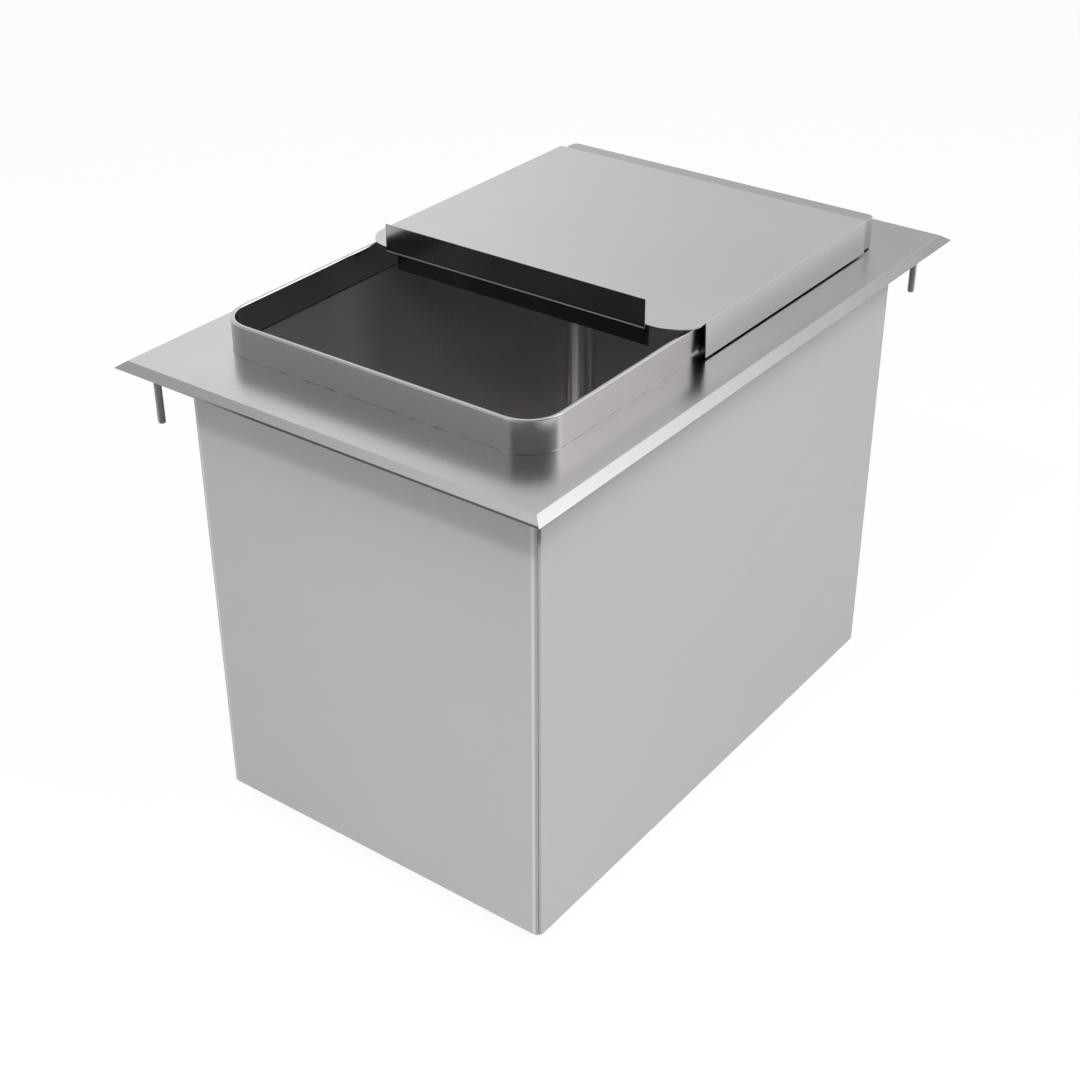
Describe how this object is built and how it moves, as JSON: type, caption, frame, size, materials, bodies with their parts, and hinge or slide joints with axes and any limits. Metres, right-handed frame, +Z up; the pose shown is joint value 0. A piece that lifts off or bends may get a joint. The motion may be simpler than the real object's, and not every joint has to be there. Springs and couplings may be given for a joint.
{
  "type": "drop-in ice bin",
  "caption": "Insulated stainless ice bin that hangs in a counter by its flange, with a raised rim, a fixed rear cover, a sliding lid with an upturned handle, and a bottom drain.",
  "frame": {"origin": "on the counter top, in the middle of the flange and of the two hold-down studs", "axes": "+Z up out of the counter, +Y to the rear, away from the person at the bin, +X to the right"},
  "size_m": [0.4, 0.606, 0.4936],
  "materials": {
    "brushed_sheet": "fine brushed stainless sheet",
    "well_sheet": "brushed stainless sheet, in the shade of the well",
    "casing_sheet": "dull brushed sheet",
    "cover_sheet": "fine brushed stainless sheet",
    "foam": "rigid foam board, cut faces",
    "stud_steel": "threaded stainless stud",
    "drain_metal": "turned stainless, satin",
    "gasket_rubber": "moulded rubber",
    "gasket_fibre": "pressed fibre"
  },
  "bodies": {
    "bin": {"deck": "brushed_sheet", "rim_collar": "brushed_sheet", "liner_walls": "well_sheet", "liner_floor": "well_sheet", "casing_front": "casing_sheet", "casing_rear": "casing_sheet", "casing_left": "casing_sheet", "casing_right": "casing_sheet", "casing_bottom": "casing_sheet", "insulation_front": "foam", "insulation_rear": "foam", "insulation_left": "foam", "insulation_right": "foam", "insulation_bottom": "foam", "mounting_studs": "stud_steel", "drain_body": "drain_metal", "drain_gasket_upper": "gasket_rubber", "drain_gasket_lower": "gasket_fibre", "drain_locknut": "drain_metal", "drain_nipple": "drain_metal", "drain_grommet": "gasket_rubber"},
    "rear_cover": {"rear_cover": "cover_sheet"},
    "sliding_lid": {"sliding_lid": "cover_sheet"},
    "strainer": {"drain_strainer": "drain_metal"}
  },
  "joints": [
    {"name": "cover_lift", "type": "slide", "parent": "bin", "child": "rear_cover", "axis": [0, 0, 1], "range_m": [0, 0.15]},
    {"name": "lid_slide", "type": "slide", "parent": "rear_cover", "child": "sliding_lid", "axis": [0, -1, 0], "range_m": [0, 0.174]},
    {"name": "strainer_lift", "type": "slide", "parent": "bin", "child": "strainer", "axis": [0, 0, 1], "range_m": [0, 0.1]}
  ]
}
